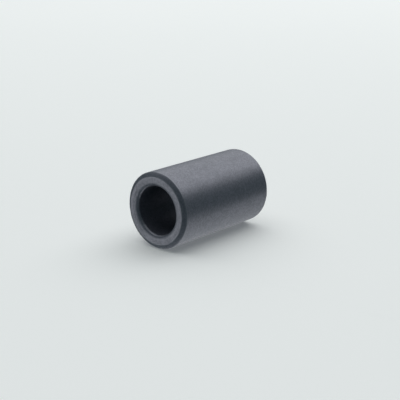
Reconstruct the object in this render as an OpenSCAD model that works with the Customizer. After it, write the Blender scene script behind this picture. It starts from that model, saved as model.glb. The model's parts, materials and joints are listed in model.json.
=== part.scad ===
// Ferrite sleeve bead, a one-piece choke core.
// One thick ring of pressed and sintered ferrite. A straight bore runs through it and both ends are flat.
// At each end the press tool leaves a bevel on the outer edge and a flatter one at the mouth of the bore.
// The sleeve stands on one end: its axis is Z, and the middle of that end is the origin. Sizes are in mm.

/* [Sleeve] */
// Outside diameter
outer_d = 17; // [15.5:0.1:40]
// Length from end face to end face
sleeve_l = 28.6; // [6:0.1:80]
// Diameter of the straight bore
bore_d = 10.8; // [3:0.1:12.3]

/* [Bevel on the outer edge] */
// Width across the end face
rim_w = 1; // [0.3:0.05:1.9]
// Depth along the outside
rim_h = 0.65; // [0.2:0.05:2]

/* [Bevel at the mouth of the bore] */
// Width across the end face
mouth_w = 0.95; // [0.3:0.05:1.8]
// Depth along the bore
mouth_h = 0.4; // [0.2:0.05:2]

/* [Hidden] */
$fn = 144;
outer_r = outer_d / 2;
bore_r = bore_d / 2;
// The flat of an end face runs between these two radii
face_inner_r = bore_r + mouth_w;
face_outer_r = outer_r - rim_w;

// Section of the wall at the lower end, from the bore to the outside: radius, height above the end face
end_profile = [
    [bore_r, mouth_h],
    [face_inner_r, 0],
    [face_outer_r, 0],
    [outer_r, rim_h],
];

// The same profile at the upper end, upside down and from the outside back to the bore
function upper_end(profile) = [
    for (i = [len(profile) - 1 : -1 : 0]) [profile[i][0], sleeve_l - profile[i][1]]
];

// Section of the wall on one side of the axis
module wall_section() {
    polygon(concat(end_profile, upper_end(end_profile)));
}

// The bead: its wall's section, turned round the axis
module ferrite_sleeve() {
    color("#53555b") rotate_extrude() wall_section();
}

ferrite_sleeve();
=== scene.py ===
"""Looks of the ferrite sleeve bead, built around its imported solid.

The bead is one thick ring of pressed and sintered ferrite. Geometry Nodes turn the wall's section
round the axis, with the small roundings and uneven edges that tumbling leaves, and the result
stands for the plain solid. The bead stands on its lower end. In the photograph it lies on its side
with that end towards the viewer, so here a pale sheet touches its side, and the camera looks from
there.
"""

import json
import logging
import math
from dataclasses import dataclass, field
from enum import Enum

import bpy
from mathutils import Matrix, Vector

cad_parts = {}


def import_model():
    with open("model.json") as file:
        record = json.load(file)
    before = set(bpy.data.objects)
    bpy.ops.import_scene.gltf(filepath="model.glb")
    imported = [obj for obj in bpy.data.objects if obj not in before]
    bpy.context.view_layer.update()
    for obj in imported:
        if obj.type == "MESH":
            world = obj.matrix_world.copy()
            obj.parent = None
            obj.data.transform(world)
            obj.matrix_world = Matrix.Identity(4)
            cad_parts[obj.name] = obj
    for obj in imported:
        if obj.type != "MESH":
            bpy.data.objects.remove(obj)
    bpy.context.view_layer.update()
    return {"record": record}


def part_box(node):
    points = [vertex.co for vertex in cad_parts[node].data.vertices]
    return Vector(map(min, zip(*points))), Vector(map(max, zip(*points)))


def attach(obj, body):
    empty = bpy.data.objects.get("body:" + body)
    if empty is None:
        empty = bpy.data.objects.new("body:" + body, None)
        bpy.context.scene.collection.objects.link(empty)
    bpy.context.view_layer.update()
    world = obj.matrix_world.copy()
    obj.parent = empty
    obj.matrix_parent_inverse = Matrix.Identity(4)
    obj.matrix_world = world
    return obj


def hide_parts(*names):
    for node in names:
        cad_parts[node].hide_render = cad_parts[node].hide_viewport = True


MM = 0.001
LOG = logging.getLogger("ferrite_sleeve_bead")
NODE = "ferrite_sleeve"
SKIN = "ferrite_sleeve_skin"
EDGE_WEAR = "edge_wear"
AXIS = Vector((0.0, 0.0, 1.0))

NodeInput = bpy.types.NodeSocket | float | int | bool | str | tuple
Patterns = dict[str, bpy.types.NodeSocket]


def linear(hex_colour: str) -> tuple[float, float, float, float]:
    """Turns an sRGB hex colour into the linear values that sockets take, by the standard's curve.

    Args:
        hex_colour: Colour such as "#53555b".

    Returns:
        Linear red, green and blue, and an alpha of 1.
    """
    parts = [int(hex_colour[i : i + 2], 16) / 255 for i in (1, 3, 5)]
    rgb = [c / 12.92 if c <= 0.04045 else ((c + 0.055) / 1.055) ** 2.4 for c in parts]
    return (*rgb, 1.0)


def towards(azimuth_deg: float, elevation_deg: float = 0.0) -> Vector:
    """Gives a direction from the bead.

    Azimuth 0 is -Y and 90 is +X, and elevation is above the floor.

    Args:
        azimuth_deg: Turn about the bead's axis, in degrees.
        elevation_deg: Height above the horizon, in degrees.

    Returns:
        The direction as a vector of length 1.
    """
    azimuth, elevation = math.radians(azimuth_deg), math.radians(elevation_deg)
    level = math.cos(elevation)
    return Vector((math.sin(azimuth) * level, -math.cos(azimuth) * level, math.sin(elevation)))


def set_inputs(
    tree: bpy.types.NodeTree, node: bpy.types.Node, inputs: dict[str | int, NodeInput]
) -> None:
    """Sets inputs of a node, or links them.

    Args:
        tree: Node tree that holds the node.
        node: The node.
        inputs: A value or another node's output for each input, by its name or number.
    """
    for key, value in inputs.items():
        if isinstance(value, bpy.types.NodeSocket):
            tree.links.new(value, node.inputs[key])
        else:
            node.inputs[key].default_value = value


def add_node(
    tree: bpy.types.NodeTree,
    kind: str,
    inputs: dict[str | int, NodeInput] | None = None,
    **settings: object,
) -> bpy.types.Node:
    """Adds a node, gives it its settings, and sets or links its inputs.

    Args:
        tree: Node tree that gets the node.
        kind: Blender's name for the type of node.
        inputs: A value or another node's output for each input, by its name or number.
        settings: The node's own properties, such as its operation.

    Returns:
        The new node.
    """
    node = tree.nodes.new(kind)
    for name, value in settings.items():
        setattr(node, name, value)
    set_inputs(tree, node, inputs or {})
    return node


def add_up(
    tree: bpy.types.NodeTree, start: NodeInput, patterns: Patterns, weights: dict[str, float]
) -> bpy.types.NodeSocket:
    """Adds weighted patterns to a starting value.

    Args:
        tree: Node tree that gets the sum.
        start: The value that the sum starts from.
        patterns: The strength of each pattern.
        weights: How much each pattern adds, by its name.

    Returns:
        The sum.
    """
    total = start
    for name, weight in weights.items():
        step = add_node(
            tree,
            "ShaderNodeMath",
            {0: patterns[name], 1: weight, 2: total},
            operation="MULTIPLY_ADD",
        )
        total = step.outputs[0]
    return total


@dataclass(frozen=True)
class SinteredFerrite:
    """Soft ferrite ceramic, pressed from granules, fired and tumbled.

    It is a dark grey with a blue cast. Its crystals bend light strongly, so even its satin skin has
    a clear sheen where it faces a lamp. The pressed granules show as a fine grain, because some are
    paler and shine more than others. Close up there are pores between them, painted near black as
    the shade inside them, faint marks along the axis where the bead left the die, pale scuffs from
    handling, and edges that tumbling has rubbed paler.
    """

    name: str = "sintered_ferrite"
    dark: str = "#2f343d"
    light: str = "#50515b"
    scuffed: str = "#6c6e75"
    rubbed: str = "#686a70"
    # Near black inside the pores: painted shade in the pits, which the bump also sinks
    pore_shade: str = "#141517"
    ior: float = 2.3
    # Iron oxides throw back a little more of blue light, which makes the sheen cold
    sheen_tint: str = "#f1f2ff"
    # The darkest granules and the palest, which shine more, and how far wear and pores change both
    roughness: tuple[float, float] = (0.5, 0.4)
    scuff_polish: float = -0.05
    rub_polish: float = -0.08
    pore_roughness: float = 0.3
    cloud_detail: float = 3.0
    mottle: float = 4.0 * MM
    grain: float = 0.1 * MM
    grain_share: float = 0.2
    grain_height: float = 0.004 * MM
    # Real granules are 0.1 to 0.2 mm across, and are drawn a little coarser so that they show
    granule: float = 0.27 * MM
    granule_share: float = 0.45
    granule_height: float = 0.009 * MM
    draw_width: float = 0.4 * MM
    draw_length: float = 14.0 * MM
    draw_share: float = 0.35
    draw_height: float = 0.004 * MM
    # The part of the blended patterns' range that goes from dark to light
    tone_range: tuple[float, float] = (0.33, 0.67)
    scuff_width: float = 0.14 * MM
    scuff_length: float = 3.0 * MM
    scuff_patch: float = 7.0 * MM
    scuff_range: tuple[float, float] = (0.36, 0.5)
    rub_range: tuple[float, float] = (0.1, 0.7)
    pore_spacing: float = 0.75 * MM
    pore_radius: float = 0.12 * MM
    pore_floor: float = 0.4
    pore_depth: float = 0.05 * MM

    def material(self) -> bpy.types.Material:
        """Builds the procedural material.

        Returns:
            The finished material.
        """
        material = bpy.data.materials.new(self.name)
        material.use_nodes = True
        tree = material.node_tree
        tree.nodes.clear()
        patterns = self._patterns(tree)
        patterns["tone"] = self._tone(tree, patterns)
        shader = add_node(
            tree,
            "ShaderNodeBsdfPrincipled",
            {
                "Base Color": self._colour(tree, patterns),
                "Roughness": self._roughness(tree, patterns),
                "IOR": self.ior,
                "Specular Tint": linear(self.sheen_tint),
                "Normal": self._relief(tree, patterns),
            },
        )
        add_node(tree, "ShaderNodeOutputMaterial", {"Surface": shader.outputs[0]})
        return material

    def _patterns(self, tree: bpy.types.NodeTree) -> Patterns:
        """Lays out the patterns of the surface at their real sizes.

        Args:
            tree: The material's node tree.

        Returns:
            The strength of each pattern, by its name.
        """
        place = add_node(tree, "ShaderNodeTexCoord").outputs["Object"]
        clouds = {
            "mottle": (self.mottle, self.mottle, self.mottle),
            "grain": (self.grain, self.grain, self.grain),
            "draw_marks": (self.draw_width, self.draw_width, self.draw_length),
            "streaks": (self.scuff_length, self.scuff_length, self.scuff_width),
            "patches": (self.scuff_patch, self.scuff_patch, self.scuff_patch),
        }
        patterns = {}
        for name, size in clouds.items():
            scale = tuple(1 / side for side in size)
            stretched = add_node(tree, "ShaderNodeMapping", {"Vector": place, "Scale": scale})
            cloud = add_node(
                tree,
                "ShaderNodeTexNoise",
                {"Vector": stretched.outputs[0], "Scale": 1.0, "Detail": self.cloud_detail},
            )
            patterns[name] = cloud.outputs[0]
        cells = {"granules": self.granule, "pores": self.pore_spacing}
        for name, size in cells.items():
            cell = add_node(tree, "ShaderNodeTexVoronoi", {"Vector": place, "Scale": 1 / size})
            chance = add_node(tree, "ShaderNodeSeparateColor", {"Color": cell.outputs["Color"]})
            patterns[name] = cell.outputs["Distance"]
            patterns[name + "_chance"] = chance.outputs[0]
        wear = add_node(tree, "ShaderNodeAttribute", attribute_name=EDGE_WEAR)
        pore_edge = self.pore_radius / self.pore_spacing
        pore_range = (pore_edge, self.pore_floor * pore_edge)
        # Scuffs keep to patches, edges are rubbed unevenly, and pores differ in size
        for name, first, operation, second, (low, high) in (
            ("scuffs", patterns["streaks"], "MULTIPLY", patterns["patches"], self.scuff_range),
            ("rubbed", wear.outputs["Fac"], "MULTIPLY", patterns["mottle"], self.rub_range),
            ("pores", patterns["pores"], "DIVIDE", patterns["pores_chance"], pore_range),
        ):
            both = add_node(tree, "ShaderNodeMath", {0: first, 1: second}, operation=operation)
            part = add_node(
                tree, "ShaderNodeMapRange", {"Value": both.outputs[0], "From Min": low, "From Max": high}
            )
            patterns[name] = part.outputs[0]
        return patterns

    def _tone(self, tree: bpy.types.NodeTree, patterns: Patterns) -> bpy.types.NodeSocket:
        """Blends the patterns that shade the body from dark to light.

        Args:
            tree: The material's node tree.
            patterns: The strength of each pattern.

        Returns:
            The shade, from 0 to 1.
        """
        tone = patterns["mottle"]
        for name, share in (
            ("draw_marks", self.draw_share),
            ("granules_chance", self.granule_share),
            ("grain", self.grain_share),
        ):
            blend = add_node(tree, "ShaderNodeMix", {"Factor": share, "A": tone, "B": patterns[name]})
            tone = blend.outputs[0]
        low, high = self.tone_range
        spread = add_node(tree, "ShaderNodeMapRange", {"Value": tone, "From Min": low, "From Max": high})
        return spread.outputs[0]

    def _colour(self, tree: bpy.types.NodeTree, patterns: Patterns) -> bpy.types.NodeSocket:
        """Colours the body, then lays scuffs, rubbed edges and the painted shade inside pores over it.

        Args:
            tree: The material's node tree.
            patterns: The strength of each pattern.

        Returns:
            The surface colour.
        """
        colour = linear(self.dark)
        # A mix takes its two colours on inputs 6 and 7, and gives the blend on output 2
        for name, shade in (
            ("tone", self.light),
            ("scuffs", self.scuffed),
            ("rubbed", self.rubbed),
            # The pores' near black is painted shade inside the pits
            ("pores", self.pore_shade),
        ):
            layer = add_node(
                tree,
                "ShaderNodeMix",
                {"Factor": patterns[name], 6: colour, 7: linear(shade)},
                data_type="RGBA",
            )
            colour = layer.outputs[2]
        return colour

    def _roughness(self, tree: bpy.types.NodeTree, patterns: Patterns) -> bpy.types.NodeSocket:
        """Makes pale granules smoother than dark ones, so that they shine more, and pores dull.

        Args:
            tree: The material's node tree.
            patterns: The strength of each pattern.

        Returns:
            The surface roughness.
        """
        darkest, palest = self.roughness
        skin = add_node(
            tree,
            "ShaderNodeMapRange",
            {"Value": patterns["tone"], "To Min": darkest, "To Max": palest},
        )
        changes = {"scuffs": self.scuff_polish, "rubbed": self.rub_polish, "pores": self.pore_roughness}
        return add_up(tree, skin.outputs[0], patterns, changes)

    def _relief(self, tree: bpy.types.NodeTree, patterns: Patterns) -> bpy.types.NodeSocket:
        """Adds up the fine relief: granules, grain and die marks stand up, and pores go in.

        Args:
            tree: The material's node tree.
            patterns: The strength of each pattern.

        Returns:
            The surface normal.
        """
        rises = {
            "granules": -self.granule_height,
            "grain": self.grain_height,
            "draw_marks": self.draw_height,
            "pores": -self.pore_depth,
        }
        height = add_up(tree, 0.0, patterns, rises)
        bump = add_node(tree, "ShaderNodeBump", {"Height": height, "Distance": 1.0, "Strength": 1.0})
        return bump.outputs[0]


@dataclass(frozen=True)
class PaleSheet:
    """Matt studio paper: it shows soft shadows and no gloss, and is clear from behind."""

    name: str
    own_light: float
    colour: str = "#f3f4f3"

    def material(self) -> bpy.types.Material:
        """Builds the material.

        Returns:
            Paper that shows shadows, and is clear from behind.
        """
        material = bpy.data.materials.new(self.name)
        material.use_nodes = True
        tree = material.node_tree
        tree.nodes.clear()
        paper = add_node(tree, "ShaderNodeBsdfDiffuse", {"Color": linear(self.colour)})
        glow = add_node(
            tree, "ShaderNodeEmission", {"Color": linear(self.colour), "Strength": self.own_light}
        )
        front = add_node(tree, "ShaderNodeAddShader", {0: paper.outputs[0], 1: glow.outputs[0]})
        behind = add_node(tree, "ShaderNodeBsdfTransparent")
        side = add_node(tree, "ShaderNodeNewGeometry").outputs["Backfacing"]
        both = add_node(
            tree, "ShaderNodeMixShader", {0: side, 1: front.outputs[0], 2: behind.outputs[0]}
        )
        add_node(tree, "ShaderNodeOutputMaterial", {"Surface": both.outputs[0]})
        return material


class Corner(Enum):
    """Corners of the wall's section at one end, from the bore to the outside."""

    BORE = "bore"
    FACE_INNER = "face inner"
    FACE_OUTER = "face outer"
    WALL = "wall"


@dataclass
class FerriteSleeve:
    """The bead: a straight sleeve with a bevel on both outer edges and at both mouths of its bore."""

    outer_radius: float
    bore_radius: float
    length: float
    rim_width: float = 1.0 * MM
    rim_depth: float = 0.65 * MM
    mouth_width: float = 0.95 * MM
    mouth_depth: float = 0.4 * MM
    # The bore's mouth is rounded almost all the way, and the outer edge stays crisp
    rounding: dict[Corner, float] = field(
        default_factory=lambda: {
            Corner.BORE: 0.6 * MM,
            Corner.FACE_INNER: 2.7 * MM,
            Corner.FACE_OUTER: 0.3 * MM,
            Corner.WALL: 0.14 * MM,
        }
    )
    arc_points: int = 6
    row_spacing: float = 1.1 * MM
    # Rows are closer together as far as this from a corner
    edge_reach: float = 1.65 * MM
    edge_spacing: float = 0.2 * MM
    columns: int = 400
    rub_reach: float = 0.45 * MM
    rub_depth: float = 0.05 * MM
    rub_size: float = 1.3 * MM
    nick_depth: float = 0.12 * MM
    nick_size: float = 0.9 * MM
    nick_range: tuple[float, float] = (0.62, 0.76)
    wave_depth: float = 0.02 * MM
    wave_size: float = 6.0 * MM
    cloud_detail: float = 2.0
    seed: int = 7

    @classmethod
    def from_frame(cls, record: dict) -> "FerriteSleeve":
        """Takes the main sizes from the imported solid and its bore.

        Args:
            record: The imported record, which gives the bore's radius.

        Returns:
            The sleeve at those sizes.
        """
        low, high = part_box(NODE)
        bore = next(mount for mount in record["mounts"] if mount["kind"] == "bore")
        return cls(
            outer_radius=(high.x - low.x) / 2,
            bore_radius=bore["dims"]["r_mm"] * MM,
            length=high.z - low.z,
        )

    def form_tree(self, material: bpy.types.Material) -> tuple[bpy.types.NodeTree, dict[str, object]]:
        """Builds the node tree that turns the wall's section into the sleeve.

        Args:
            material: The sleeve's material.

        Returns:
            The tree, and the value for each of its inputs by the input's identifier.
        """
        tree = bpy.data.node_groups.new("ferrite_sleeve_form", "GeometryNodeTree")
        tree.is_modifier = True
        tree.interface.new_socket("Geometry", in_out="OUTPUT", socket_type="NodeSocketGeometry")
        lengths = {
            "Outer radius": self.outer_radius,
            "Bore radius": self.bore_radius,
            "Length": self.length,
            "Rim width": self.rim_width,
            "Rim depth": self.rim_depth,
            "Mouth width": self.mouth_width,
            "Mouth depth": self.mouth_depth,
            **{f"Rounding at {corner.value}": radius for corner, radius in self.rounding.items()},
            "Row spacing": self.row_spacing,
            "Edge reach": self.edge_reach,
            "Edge spacing": self.edge_spacing,
            "Rub reach": self.rub_reach,
            "Rub depth": self.rub_depth,
            "Rub size": self.rub_size,
            "Nick depth": self.nick_depth,
            "Nick size": self.nick_size,
            "Wave depth": self.wave_depth,
            "Wave size": self.wave_size,
        }
        inputs = [(name, "NodeSocketFloat", value) for name, value in lengths.items()]
        inputs += [
            ("Arc points", "NodeSocketInt", self.arc_points),
            ("Columns", "NodeSocketInt", self.columns),
            ("Seed", "NodeSocketInt", self.seed),
            ("Material", "NodeSocketMaterial", material),
        ]
        values = {}
        for name, kind, value in inputs:
            socket = tree.interface.new_socket(name, in_out="INPUT", socket_type=kind)
            values[socket.identifier] = value
        given = add_node(tree, "NodeGroupInput").outputs

        section = self._section(tree, given)
        turned = self._turned(tree, given, section)
        skin = self._rubbed(tree, given, turned)
        whole = add_node(tree, "GeometryNodeRealizeInstances", {"Geometry": skin})
        dressed = add_node(
            tree,
            "GeometryNodeSetMaterial",
            {"Geometry": whole.outputs[0], "Material": given["Material"]},
        )
        add_node(tree, "NodeGroupOutput", {"Geometry": dressed.outputs[0]})
        return tree, values

    def _corners(
        self, tree: bpy.types.NodeTree, given: bpy.types.NodeOutputs
    ) -> tuple[bpy.types.NodeSocket, bpy.types.NodeSocket]:
        """Places the corners of the wall's section: x is the radius and y the height.

        Args:
            tree: The sleeve's node tree.
            given: The tree's inputs.

        Returns:
            The chain of corners, and each corner's rounding as a field.
        """
        face_inner = add_node(
            tree, "ShaderNodeMath", {0: given["Bore radius"], 1: given["Mouth width"]}, operation="ADD"
        )
        face_outer = add_node(
            tree,
            "ShaderNodeMath",
            {0: given["Outer radius"], 1: given["Rim width"]},
            operation="SUBTRACT",
        )
        radii = [
            given["Bore radius"],
            face_inner.outputs[0],
            face_outer.outputs[0],
            given["Outer radius"],
        ]
        lower = [given["Mouth depth"], 0.0, 0.0, given["Rim depth"]]
        upper = []
        for depth in lower:
            height = add_node(
                tree, "ShaderNodeMath", {0: given["Length"], 1: depth}, operation="SUBTRACT"
            )
            upper.append(height.outputs[0])
        roundings = [given[f"Rounding at {corner.value}"] for corner in Corner]
        by_corner = {
            "radius": radii + radii[::-1],
            "height": lower + upper[::-1],
            "rounding": roundings + roundings[::-1],
        }
        index = add_node(tree, "GeometryNodeInputIndex")
        picked = {}
        for quantity, of_corner in by_corner.items():
            pick = add_node(tree, "GeometryNodeIndexSwitch", data_type="FLOAT")
            while len(pick.index_switch_items) < len(of_corner):
                pick.index_switch_items.new()
            set_inputs(tree, pick, dict(enumerate([index.outputs[0], *of_corner])))
            picked[quantity] = pick.outputs[0]
        chain = add_node(tree, "GeometryNodeMeshLine", {"Count": 2 * len(Corner)})
        place = add_node(tree, "ShaderNodeCombineXYZ", {"X": picked["radius"], "Y": picked["height"]})
        corners = add_node(
            tree,
            "GeometryNodeSetPosition",
            {"Geometry": chain.outputs[0], "Position": place.outputs[0]},
        )
        return corners.outputs[0], picked["rounding"]

    def _section(self, tree: bpy.types.NodeTree, given: bpy.types.NodeOutputs) -> bpy.types.NodeSocket:
        """Draws the wall's section as a closed curve, with rounded corners and more points near them.

        Args:
            tree: The sleeve's node tree.
            given: The tree's inputs.

        Returns:
            The section's curve, with its edge wear stored on its points.
        """
        corners, rounding = self._corners(tree, given)
        outline = add_node(tree, "GeometryNodeMeshToCurve", {"Mesh": corners})
        closed = add_node(
            tree, "GeometryNodeSetSplineCyclic", {"Geometry": outline.outputs[0], "Cyclic": True}
        )
        rounded = add_node(
            tree,
            "GeometryNodeFilletCurve",
            {"Curve": closed.outputs[0], "Count": given["Arc points"], "Radius": rounding},
            mode="POLY",
        )
        here = add_node(tree, "GeometryNodeInputPosition")
        following = add_node(tree, "GeometryNodeOffsetPointInCurve", {"Offset": 1})
        there = add_node(
            tree,
            "GeometryNodeFieldAtIndex",
            {"Value": here.outputs[0], "Index": following.outputs["Point Index"]},
            data_type="FLOAT_VECTOR",
            domain="POINT",
        )
        stretch = add_node(
            tree,
            "ShaderNodeVectorMath",
            {0: here.outputs[0], 1: there.outputs[0]},
            operation="DISTANCE",
        )
        nearest = add_node(
            tree, "GeometryNodeProximity", {"Geometry": corners}, target_element="POINTS"
        )
        by_corner = add_node(
            tree,
            "FunctionNodeCompare",
            {0: nearest.outputs["Distance"], 1: given["Edge reach"]},
            data_type="FLOAT",
            operation="LESS_THAN",
        )
        curve = rounded.outputs[0]
        for spacing, share in (
            (given["Row spacing"], 1.0),
            (given["Edge spacing"], by_corner.outputs[0]),
        ):
            fit = add_node(
                tree, "ShaderNodeMath", {0: stretch.outputs["Value"], 1: spacing}, operation="DIVIDE"
            )
            kept = add_node(
                tree, "ShaderNodeMath", {0: fit.outputs[0], 1: share}, operation="MULTIPLY"
            )
            cuts = add_node(
                tree, "FunctionNodeFloatToInt", {"Float": kept.outputs[0]}, rounding_mode="FLOOR"
            )
            cut = add_node(
                tree, "GeometryNodeSubdivideCurve", {"Curve": curve, "Cuts": cuts.outputs[0]}
            )
            curve = cut.outputs[0]
        wear = add_node(
            tree,
            "ShaderNodeMapRange",
            {
                "Value": nearest.outputs["Distance"],
                "From Max": given["Rub reach"],
                "To Min": 1.0,
                "To Max": 0.0,
            },
            interpolation_type="SMOOTHSTEP",
        )
        worn = add_node(
            tree,
            "GeometryNodeStoreNamedAttribute",
            {"Geometry": curve, "Name": EDGE_WEAR, "Value": wear.outputs[0]},
            data_type="FLOAT",
            domain="POINT",
        )
        return worn.outputs[0]

    def _turned(
        self,
        tree: bpy.types.NodeTree,
        given: bpy.types.NodeOutputs,
        section: bpy.types.NodeSocket,
    ) -> bpy.types.NodeSocket:
        """Turns the section round the axis.

        Args:
            tree: The sleeve's node tree.
            given: The tree's inputs.
            section: The section's curve.

        Returns:
            The sleeve as a closed mesh.
        """
        circle = add_node(
            tree,
            "GeometryNodeCurvePrimitiveCircle",
            {"Resolution": given["Columns"], "Radius": given["Outer radius"]},
        )
        path = add_node(tree, "GeometryNodeSetCurveNormal", {"Curve": circle.outputs[0]}, mode="Z_UP")
        # The path holds a profile by its outer edge, with the profile's y pointing down
        upside_down = (1.0, -1.0, 1.0)
        inwards = add_node(
            tree, "ShaderNodeMath", {0: 0.0, 1: given["Outer radius"]}, operation="SUBTRACT"
        )
        shift = add_node(tree, "ShaderNodeCombineXYZ", {"X": inwards.outputs[0]})
        here = add_node(tree, "GeometryNodeInputPosition")
        held = add_node(
            tree,
            "ShaderNodeVectorMath",
            {0: here.outputs[0], 1: upside_down, 2: shift.outputs[0]},
            operation="MULTIPLY_ADD",
        )
        profile = add_node(
            tree, "GeometryNodeSetPosition", {"Geometry": section, "Position": held.outputs[0]}
        )
        turned = add_node(
            tree,
            "GeometryNodeCurveToMesh",
            {"Curve": path.outputs[0], "Profile Curve": profile.outputs[0]},
        )
        outside_out = add_node(tree, "GeometryNodeFlipFaces", {"Mesh": turned.outputs[0]})
        return outside_out.outputs[0]

    def _rubbed(
        self,
        tree: bpy.types.NodeTree,
        given: bpy.types.NodeOutputs,
        sleeve: bpy.types.NodeSocket,
    ) -> bpy.types.NodeSocket:
        """Sinks the surface a little.

        Its edges rub down and nick, and firing leaves the body slightly uneven.

        Args:
            tree: The sleeve's node tree.
            given: The tree's inputs.
            sleeve: The even sleeve.

        Returns:
            The sleeve's skin, shaded smooth.
        """
        wear = add_node(
            tree, "GeometryNodeInputNamedAttribute", {"Name": EDGE_WEAR}, data_type="FLOAT"
        )
        clouds = {}
        for name in ("Rub", "Nick", "Wave"):
            scale = add_node(
                tree, "ShaderNodeMath", {0: 1.0, 1: given[name + " size"]}, operation="DIVIDE"
            )
            cloud = add_node(
                tree,
                "ShaderNodeTexNoise",
                {"W": given["Seed"], "Scale": scale.outputs[0], "Detail": self.cloud_detail},
                noise_dimensions="4D",
            )
            clouds[name] = cloud.outputs[0]
        low, high = self.nick_range
        nicks = add_node(
            tree, "ShaderNodeMapRange", {"Value": clouds["Nick"], "From Min": low, "From Max": high}
        )
        on_edges = {"Rub depth": clouds["Rub"], "Nick depth": nicks.outputs[0]}
        depth = add_node(
            tree, "ShaderNodeMath", {0: clouds["Wave"], 1: given["Wave depth"]}, operation="MULTIPLY"
        )
        for name, strength in on_edges.items():
            share = add_node(
                tree, "ShaderNodeMath", {0: wear.outputs[0], 1: strength}, operation="MULTIPLY"
            )
            depth = add_node(
                tree,
                "ShaderNodeMath",
                {0: share.outputs[0], 1: given[name], 2: depth.outputs[0]},
                operation="MULTIPLY_ADD",
            )
        inwards = add_node(
            tree, "ShaderNodeMath", {0: 0.0, 1: depth.outputs[0]}, operation="SUBTRACT"
        )
        outwards = add_node(tree, "GeometryNodeInputNormal")
        sunk = add_node(
            tree,
            "ShaderNodeVectorMath",
            {0: outwards.outputs["Normal"], "Scale": inwards.outputs[0]},
            operation="SCALE",
        )
        rubbed = add_node(
            tree, "GeometryNodeSetPosition", {"Geometry": sleeve, "Offset": sunk.outputs[0]}
        )
        smooth = add_node(tree, "GeometryNodeSetShadeSmooth", {"Geometry": rubbed.outputs[0]})
        return smooth.outputs[0]

    def build(self, finish: SinteredFerrite) -> bpy.types.Object:
        """Makes the bead's mesh and hands it to the frame in place of the plain solid.

        Args:
            finish: The finish that the bead is dressed in.

        Returns:
            The bead as a plain mesh object.
        """
        carrier = bpy.data.objects.new("sleeve_form", bpy.data.meshes.new("sleeve_form"))
        bpy.context.scene.collection.objects.link(carrier)
        tree, values = self.form_tree(finish.material())
        modifier = carrier.modifiers.new("form", "NODES")
        modifier.node_group = tree
        for identifier, value in values.items():
            modifier[identifier] = value
        evaluated = carrier.evaluated_get(bpy.context.evaluated_depsgraph_get())
        mesh = bpy.data.meshes.new_from_object(evaluated)
        carrier.modifiers.remove(modifier)
        bpy.data.objects.remove(carrier)
        mesh.name = SKIN
        bead = bpy.data.objects.new(SKIN, mesh)
        bpy.context.scene.collection.objects.link(bead)
        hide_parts(NODE)
        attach(bead, "root")
        LOG.info("sleeve: %d faces", len(mesh.polygons))
        return bead


@dataclass(frozen=True)
class SoftBox:
    """A round lamp with a diffuser, aimed at the bead's middle."""

    name: str
    azimuth_deg: float
    elevation_deg: float
    half_angle_deg: float
    brightness: float
    distance: float = 1.2

    def build(self, target: Vector) -> bpy.types.Object:
        """Places the lamp.

        Args:
            target: The point it is aimed at.

        Returns:
            The lamp.
        """
        radius = self.distance * math.tan(math.radians(self.half_angle_deg))
        lamp = bpy.data.lights.new(self.name, "AREA")
        lamp.shape = "DISK"
        lamp.size = 2 * radius
        # The power of a flat lamp is its brightness times pi times its area
        lamp.energy = self.brightness * math.pi * math.pi * radius**2
        holder = bpy.data.objects.new(self.name, lamp)
        bpy.context.scene.collection.objects.link(holder)
        direction = towards(self.azimuth_deg, self.elevation_deg)
        holder.location = target + direction * self.distance
        holder.rotation_mode = "QUATERNION"
        holder.rotation_quaternion = direction.to_track_quat("Z", "Y")
        LOG.info("lamp %s: %.2f W", self.name, lamp.energy)
        return holder


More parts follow.
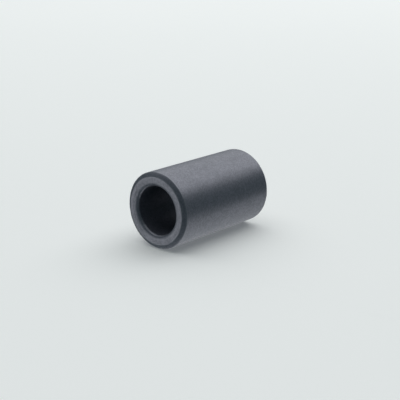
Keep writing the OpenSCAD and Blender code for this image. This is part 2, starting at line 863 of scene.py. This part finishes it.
@dataclass
class Studio:
    """Floor, sheet and lamps, and the low light of the room."""

    sleeve: FerriteSleeve
    sheet_azimuth_deg: float = 45.0
    paper_half: float = 2.5
    floor_light: float = 0.23
    sheet_light: float = 0.1
    surround: str = "#e6e8e6"
    fill_colour: str = "#c8e8ee"
    fill_level: float = 0.155
    # Name, azimuth, elevation and half angle in degrees, and brightness
    lamps: tuple[SoftBox, ...] = (
        SoftBox("key", 31.0, 20.0, 52.0, 1.07),
        SoftBox("key_core", 60.0, 46.0, 20.0, 0.48),
        SoftBox("back_fill", 218.0, 28.0, 46.0, 0.68),
        SoftBox("back_strip", 212.0, 0.0, 22.0, 1.0),
        SoftBox("low_fill", 294.0, -45.0, 22.0, 1.25),
    )

    def build(self) -> None:
        """Sets up everything round the bead."""
        middle = AXIS * (self.sleeve.length / 2)
        facing = towards(self.sheet_azimuth_deg)
        self._paper("floor", Vector((0.0, 0.0, 0.0)), AXIS, self.floor_light)
        self._paper("side_sheet", -self.sleeve.outer_radius * facing, facing, self.sheet_light)
        for lamp in self.lamps:
            lamp.build(middle)
        self._surround()

    def _paper(self, name: str, point: Vector, facing: Vector, own_light: float) -> None:
        """Adds one flat sheet of paper, which only the camera sees, so that it never tints the bead.

        Args:
            name: The sheet's name.
            point: A point that it passes through.
            facing: The direction that its front faces.
            own_light: Light of its own, which brings both papers to one tone.
        """
        turn = facing.to_track_quat("Z", "Y").to_matrix()
        half = self.paper_half
        corners = [(-half, -half, 0), (half, -half, 0), (half, half, 0), (-half, half, 0)]
        mesh = bpy.data.meshes.new(name)
        mesh.from_pydata([point + turn @ Vector(c) for c in corners], [], [(0, 1, 2, 3)])
        mesh.materials.append(PaleSheet(name + "_paper", own_light).material())
        sheet = bpy.data.objects.new(name, mesh)
        bpy.context.scene.collection.objects.link(sheet)
        for ray in ("diffuse", "glossy", "transmission", "volume_scatter", "shadow"):
            setattr(sheet, "visible_" + ray, False)
        LOG.info("stage: %s", name)

    def _surround(self) -> None:
        """Gives the room a low even light, and a pale look behind the papers."""
        world = bpy.data.worlds.new("studio")
        world.use_nodes = True
        tree = world.node_tree
        tree.nodes.clear()
        light = add_node(
            tree,
            "ShaderNodeBackground",
            {"Color": linear(self.fill_colour), "Strength": self.fill_level},
        )
        seen = add_node(
            tree, "ShaderNodeBackground", {"Color": linear(self.surround), "Strength": 1.0}
        )
        camera_ray = add_node(tree, "ShaderNodeLightPath").outputs["Is Camera Ray"]
        both = add_node(
            tree, "ShaderNodeMixShader", {0: camera_ray, 1: light.outputs[0], 2: seen.outputs[0]}
        )
        add_node(tree, "ShaderNodeOutputWorld", {"Surface": both.outputs[0]})
        bpy.context.scene.world = world


@dataclass(frozen=True)
class PhotoCamera:
    """The photograph's viewpoint.

    The bead lies on the sheet, turned from the line of sight, and the camera looks down on the
    sheet. The middle of the bead's lower end is seen at one pixel of the picture, at a known
    distance.
    """

    picture_px: float = 400.0
    focal_px: float = 1000.0
    end_px: tuple[float, float] = (155.5, 211.35)
    end_distance: float = 213.1 * MM
    bead_turn_deg: float = 41.13
    look_down_deg: float = 16.52
    sensor_mm: float = 36.0
    # The nearest and furthest that it sees, as shares of the bead's distance
    clip_range: tuple[float, float] = (0.01, 100.0)

    def build(self, sheet_azimuth_deg: float) -> bpy.types.Object:
        """Makes the scene's camera.

        Args:
            sheet_azimuth_deg: The direction that the sheet faces, which is the photograph's up.

        Returns:
            The camera.
        """
        turn, down = math.radians(self.bead_turn_deg), math.radians(self.look_down_deg)
        off_sheet = towards(sheet_azimuth_deg)
        across = AXIS.cross(off_sheet)
        right = math.cos(turn) * across + math.sin(turn) * AXIS
        ahead = math.cos(turn) * AXIS - math.sin(turn) * across
        forward = math.cos(down) * ahead - math.sin(down) * off_sheet
        up = math.sin(down) * ahead + math.cos(down) * off_sheet
        end_x, end_y = ((p - self.picture_px / 2) / self.focal_px for p in self.end_px)
        place = -self.end_distance * (end_x * right - end_y * up + forward)

        data = bpy.data.cameras.new("photo_camera")
        data.sensor_width = self.sensor_mm
        data.lens = self.sensor_mm * self.focal_px / self.picture_px
        data.clip_start, data.clip_end = (self.end_distance * share for share in self.clip_range)
        camera = bpy.data.objects.new("photo_camera", data)
        bpy.context.scene.collection.objects.link(camera)
        axes = Matrix((right, up, -forward)).transposed()
        camera.matrix_world = Matrix.Translation(place) @ axes.to_4x4()
        bpy.context.scene.camera = camera
        LOG.info("camera: %.0f mm lens", data.lens)
        return camera


def main() -> None:
    """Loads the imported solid, dresses it and sets up the photograph's view."""
    logging.basicConfig(level=logging.INFO, format="%(name)s: %(message)s")
    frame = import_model()
    bpy.context.scene.view_settings.view_transform = "Standard"
    sleeve = FerriteSleeve.from_frame(frame["record"])
    sleeve.build(SinteredFerrite())
    studio = Studio(sleeve)
    studio.build()
    PhotoCamera().build(studio.sheet_azimuth_deg)


if __name__ == "__main__":
    main()
